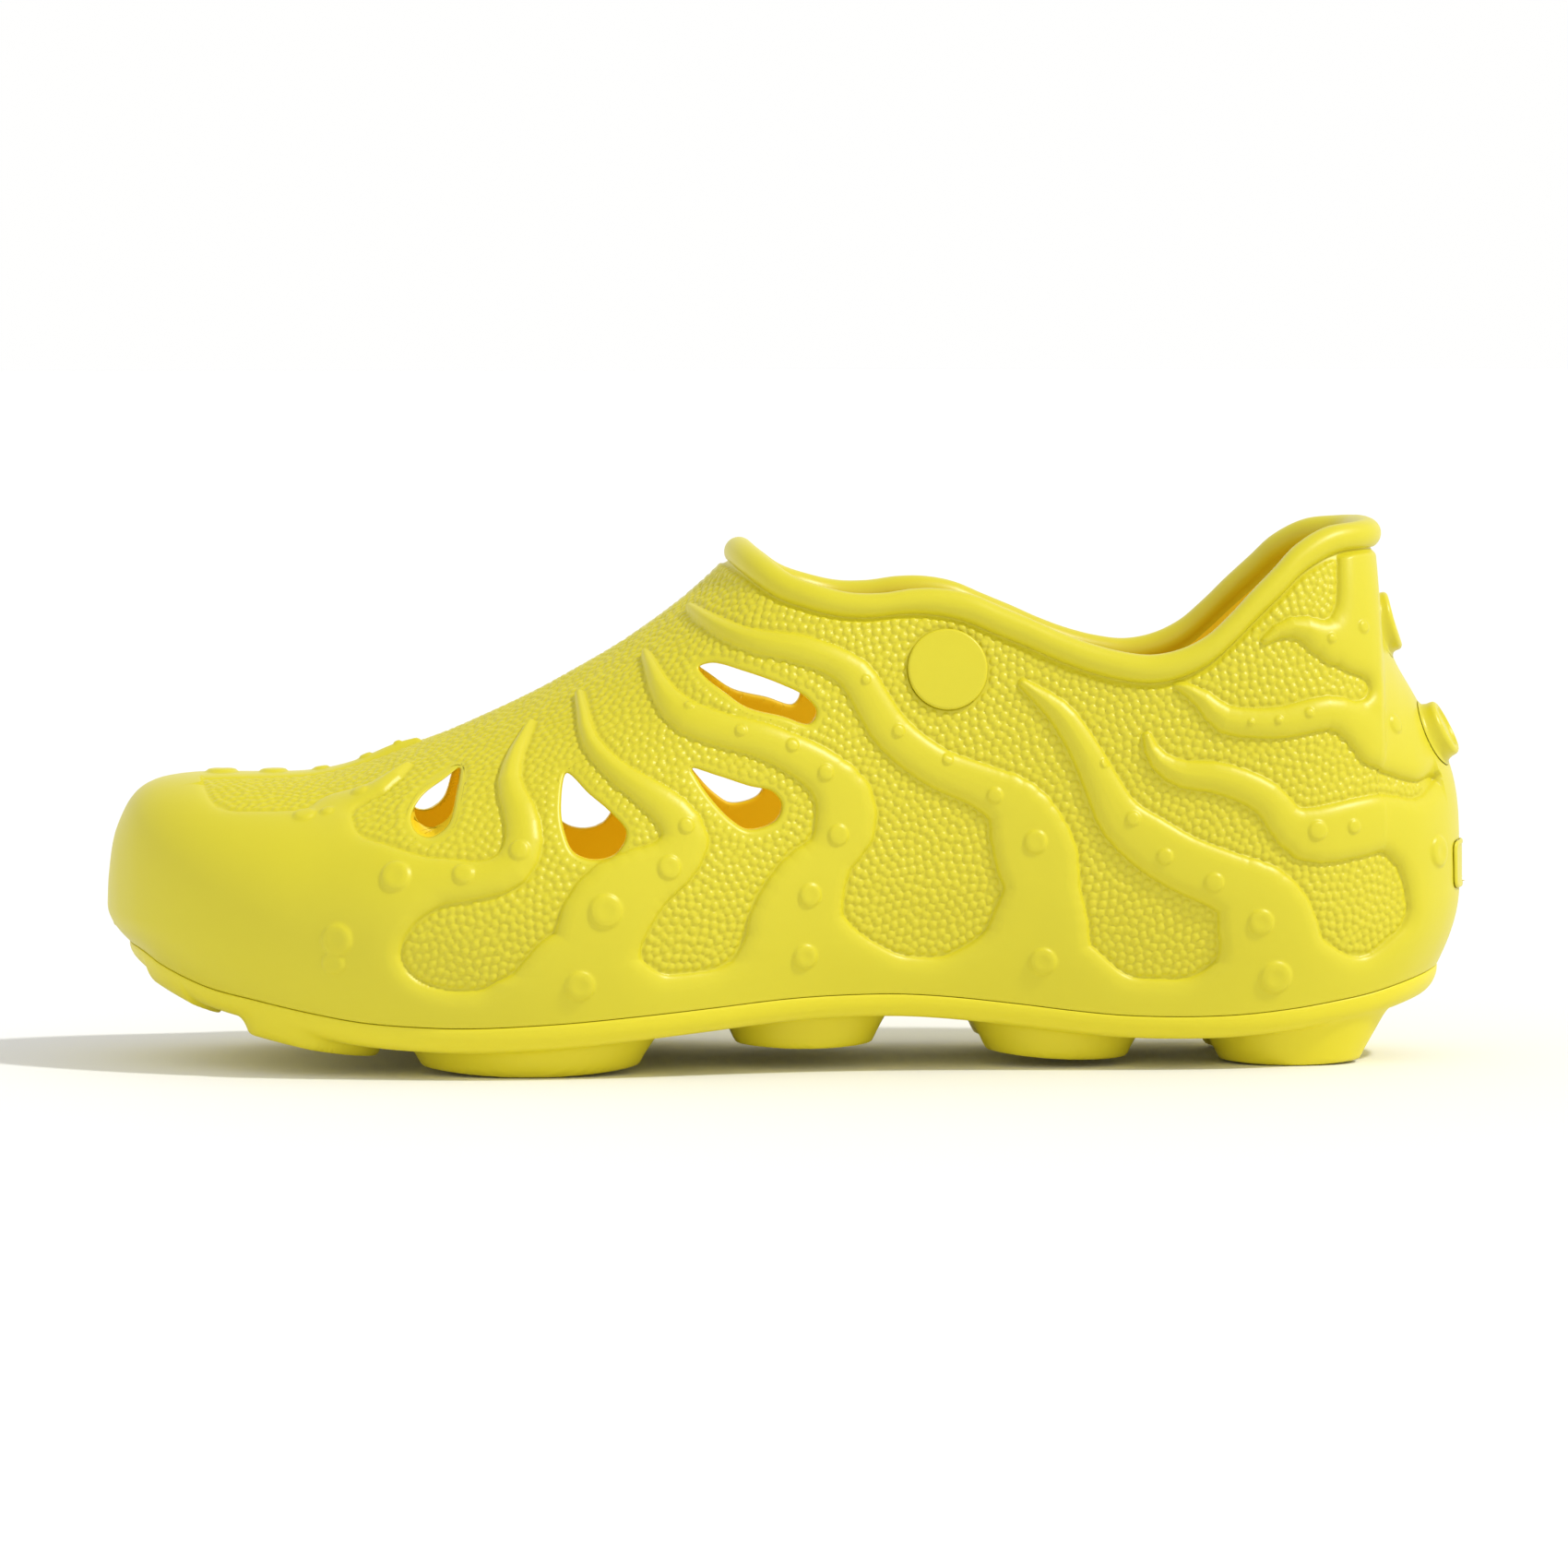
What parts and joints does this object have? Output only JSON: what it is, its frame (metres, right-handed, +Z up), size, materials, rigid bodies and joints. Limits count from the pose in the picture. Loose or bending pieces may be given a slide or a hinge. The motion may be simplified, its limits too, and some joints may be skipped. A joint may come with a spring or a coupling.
{
  "type": "garden clog",
  "caption": "Moulded foam garden clog for the left foot, closed heel, rolled collar, vented sides with raised tentacle relief, lugged outsole and a removable footbed.",
  "frame": {"origin": "centre of the footprint box, on the ground plane that the lugs stand on", "axes": "+X to the heel, -X to the toe, +Y to the inner side of the foot, -Y to the outer side, +Z up"},
  "size_m": [0.3024, 0.1128, 0.1199],
  "materials": {
    "upper_shell": "satin moulded foam",
    "outsole": "satin moulded foam",
    "footbed": "matte moulded foam",
    "side_badge": "satin moulded foam",
    "heel_stud_upper": "satin moulded foam",
    "heel_stud_lower": "satin moulded foam",
    "heel_plate": "satin moulded foam"
  },
  "bodies": {
    "root": {"upper_shell": "upper_shell", "outsole": "outsole", "footbed": "footbed", "side_badge": "side_badge", "heel_stud_upper": "heel_stud_upper", "heel_stud_lower": "heel_stud_lower", "heel_plate": "heel_plate"}
  },
  "joints": []
}
